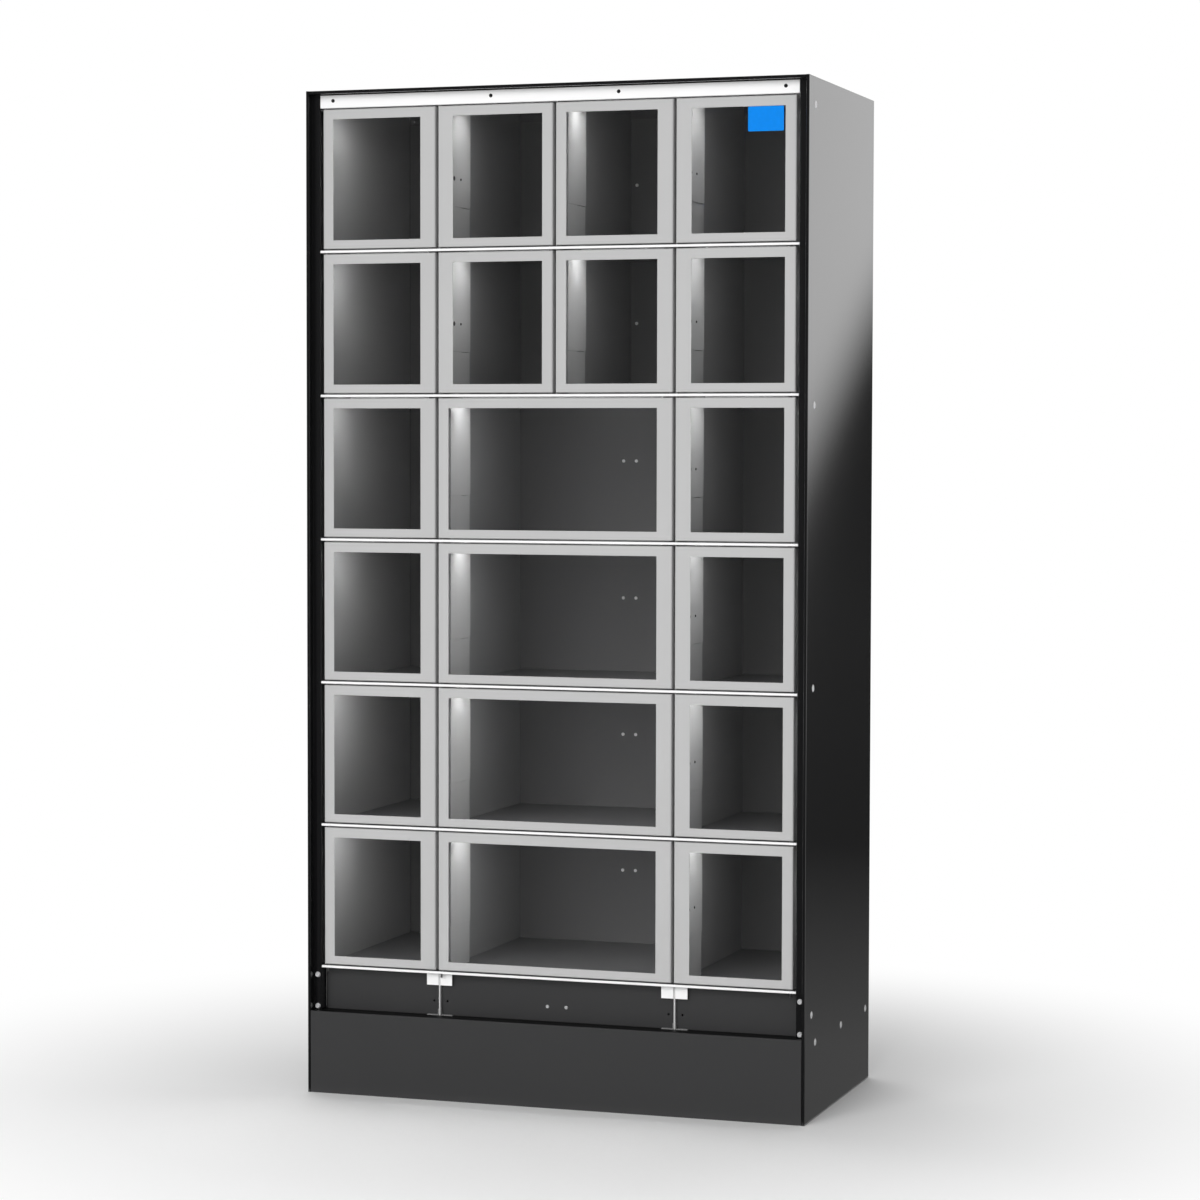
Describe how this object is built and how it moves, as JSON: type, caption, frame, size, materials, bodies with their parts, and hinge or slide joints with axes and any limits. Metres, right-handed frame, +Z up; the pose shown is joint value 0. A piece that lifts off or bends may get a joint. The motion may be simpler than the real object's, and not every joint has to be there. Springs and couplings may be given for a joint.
{
  "type": "vending locker",
  "caption": "Free-standing steel locker: a black folded shell with rows of cells, each behind a hinged grey door frame with a clear pane and an electric lock beside it.",
  "frame": {"origin": "on the floor under the middle of the cabinet", "axes": "+X to the right seen from the front, the doors face -Y, +Z up"},
  "size_m": [1.006, 0.5, 1.94],
  "materials": {
    "black_paint": "gloss black coat",
    "dark_paint": "dark grey coat",
    "charcoal_paint": "fine textured charcoal coat",
    "white_paint": "satin white coat",
    "pale_paint": "satin pale coat",
    "liner_paint": "satin grey coat",
    "door_paint": "fine textured grey coat",
    "clear_pane": "clear polished sheet",
    "pin_steel": "plain steel",
    "screw_steel": "zinc plated steel",
    "case_metal": "plain folded sheet",
    "lamp_cover": "frosted lamp cover",
    "lock_plastic": "matt black moulding"
  },
  "bodies": {
    "cabinet_body": {"left_side_panel": "black_paint", "right_side_panel": "black_paint", "top_panel": "black_paint", "back_panel": "dark_paint", "base_tray": "dark_paint", "kick_panel": "charcoal_paint", "bay_panels": "charcoal_paint", "header_strip": "white_paint", "side_liners": "liner_paint", "side_dividers": "pale_paint", "centre_divider": "pale_paint", "shelves": "white_paint", "lock_channels": "pale_paint", "divider_brackets": "pale_paint", "door_locks": "lock_plastic", "cell_lamps": "lamp_cover", "hinge_pins": "pin_steel", "cabinet_screws": "screw_steel", "power_supply": "case_metal", "lock_controller": "lock_plastic"},
    "leaf_r1_c1": {"door_r1_c1": "door_paint", "pane_r1_c1": "clear_pane"},
    "leaf_r1_c2": {"door_r1_c2": "door_paint", "pane_r1_c2": "clear_pane"},
    "leaf_r1_c3": {"door_r1_c3": "door_paint", "pane_r1_c3": "clear_pane"},
    "leaf_r1_c4": {"door_r1_c4": "door_paint", "pane_r1_c4": "clear_pane"},
    "leaf_r2_c1": {"door_r2_c1": "door_paint", "pane_r2_c1": "clear_pane"},
    "leaf_r2_c2": {"door_r2_c2": "door_paint", "pane_r2_c2": "clear_pane"},
    "leaf_r2_c3": {"door_r2_c3": "door_paint", "pane_r2_c3": "clear_pane"},
    "leaf_r2_c4": {"door_r2_c4": "door_paint", "pane_r2_c4": "clear_pane"},
    "leaf_r3_c1": {"door_r3_c1": "door_paint", "pane_r3_c1": "clear_pane"},
    "leaf_r3_wide": {"door_r3_wide": "door_paint", "pane_r3_wide": "clear_pane"},
    "leaf_r3_c4": {"door_r3_c4": "door_paint", "pane_r3_c4": "clear_pane"},
    "leaf_r4_c1": {"door_r4_c1": "door_paint", "pane_r4_c1": "clear_pane"},
    "leaf_r4_wide": {"door_r4_wide": "door_paint", "pane_r4_wide": "clear_pane"},
    "leaf_r4_c4": {"door_r4_c4": "door_paint", "pane_r4_c4": "clear_pane"},
    "leaf_r5_c1": {"door_r5_c1": "door_paint", "pane_r5_c1": "clear_pane"},
    "leaf_r5_wide": {"door_r5_wide": "door_paint", "pane_r5_wide": "clear_pane"},
    "leaf_r5_c4": {"door_r5_c4": "door_paint", "pane_r5_c4": "clear_pane"},
    "leaf_r6_c1": {"door_r6_c1": "door_paint", "pane_r6_c1": "clear_pane"},
    "leaf_r6_wide": {"door_r6_wide": "door_paint", "pane_r6_wide": "clear_pane"},
    "leaf_r6_c4": {"door_r6_c4": "door_paint", "pane_r6_c4": "clear_pane"}
  },
  "joints": [
    {"name": "hinge_r1_c1", "type": "hinge", "parent": "cabinet_body", "child": "leaf_r1_c1", "pos_m": [-0.4666, -0.227, 1.7718], "axis": [0, 0, -1], "range_deg": [0, 110]},
    {"name": "hinge_r1_c2", "type": "hinge", "parent": "cabinet_body", "child": "leaf_r1_c2", "pos_m": [-0.008, -0.227, 1.7718], "axis": [0, 0, 1], "range_deg": [0, 90]},
    {"name": "hinge_r1_c3", "type": "hinge", "parent": "cabinet_body", "child": "leaf_r1_c3", "pos_m": [0.008, -0.227, 1.7718], "axis": [0, 0, -1], "range_deg": [0, 90]},
    {"name": "hinge_r1_c4", "type": "hinge", "parent": "cabinet_body", "child": "leaf_r1_c4", "pos_m": [0.4666, -0.227, 1.7718], "axis": [0, 0, 1], "range_deg": [0, 110]},
    {"name": "hinge_r2_c1", "type": "hinge", "parent": "cabinet_body", "child": "leaf_r2_c1", "pos_m": [-0.4666, -0.227, 1.4942], "axis": [0, 0, -1], "range_deg": [0, 110]},
    {"name": "hinge_r2_c2", "type": "hinge", "parent": "cabinet_body", "child": "leaf_r2_c2", "pos_m": [-0.008, -0.227, 1.4942], "axis": [0, 0, 1], "range_deg": [0, 90]},
    {"name": "hinge_r2_c3", "type": "hinge", "parent": "cabinet_body", "child": "leaf_r2_c3", "pos_m": [0.008, -0.227, 1.4942], "axis": [0, 0, -1], "range_deg": [0, 90]},
    {"name": "hinge_r2_c4", "type": "hinge", "parent": "cabinet_body", "child": "leaf_r2_c4", "pos_m": [0.4666, -0.227, 1.4942], "axis": [0, 0, 1], "range_deg": [0, 110]},
    {"name": "hinge_r3_c1", "type": "hinge", "parent": "cabinet_body", "child": "leaf_r3_c1", "pos_m": [-0.4666, -0.227, 1.2166], "axis": [0, 0, -1], "range_deg": [0, 110]},
    {"name": "hinge_r3_wide", "type": "hinge", "parent": "cabinet_body", "child": "leaf_r3_wide", "pos_m": [-0.2293, -0.227, 1.2166], "axis": [0, 0, -1], "range_deg": [0, 90]},
    {"name": "hinge_r3_c4", "type": "hinge", "parent": "cabinet_body", "child": "leaf_r3_c4", "pos_m": [0.4666, -0.227, 1.2166], "axis": [0, 0, 1], "range_deg": [0, 110]},
    {"name": "hinge_r4_c1", "type": "hinge", "parent": "cabinet_body", "child": "leaf_r4_c1", "pos_m": [-0.4666, -0.227, 0.939], "axis": [0, 0, -1], "range_deg": [0, 110]},
    {"name": "hinge_r4_wide", "type": "hinge", "parent": "cabinet_body", "child": "leaf_r4_wide", "pos_m": [-0.2293, -0.227, 0.939], "axis": [0, 0, -1], "range_deg": [0, 90]},
    {"name": "hinge_r4_c4", "type": "hinge", "parent": "cabinet_body", "child": "leaf_r4_c4", "pos_m": [0.4666, -0.227, 0.939], "axis": [0, 0, 1], "range_deg": [0, 110]},
    {"name": "hinge_r5_c1", "type": "hinge", "parent": "cabinet_body", "child": "leaf_r5_c1", "pos_m": [-0.4666, -0.227, 0.6614], "axis": [0, 0, -1], "range_deg": [0, 110]},
    {"name": "hinge_r5_wide", "type": "hinge", "parent": "cabinet_body", "child": "leaf_r5_wide", "pos_m": [-0.2293, -0.227, 0.6614], "axis": [0, 0, -1], "range_deg": [0, 90]},
    {"name": "hinge_r5_c4", "type": "hinge", "parent": "cabinet_body", "child": "leaf_r5_c4", "pos_m": [0.4666, -0.227, 0.6614], "axis": [0, 0, 1], "range_deg": [0, 110]},
    {"name": "hinge_r6_c1", "type": "hinge", "parent": "cabinet_body", "child": "leaf_r6_c1", "pos_m": [-0.4666, -0.227, 0.3838], "axis": [0, 0, -1], "range_deg": [0, 110]},
    {"name": "hinge_r6_wide", "type": "hinge", "parent": "cabinet_body", "child": "leaf_r6_wide", "pos_m": [-0.2293, -0.227, 0.3838], "axis": [0, 0, -1], "range_deg": [0, 90]},
    {"name": "hinge_r6_c4", "type": "hinge", "parent": "cabinet_body", "child": "leaf_r6_c4", "pos_m": [0.4666, -0.227, 0.3838], "axis": [0, 0, 1], "range_deg": [0, 110]}
  ]
}
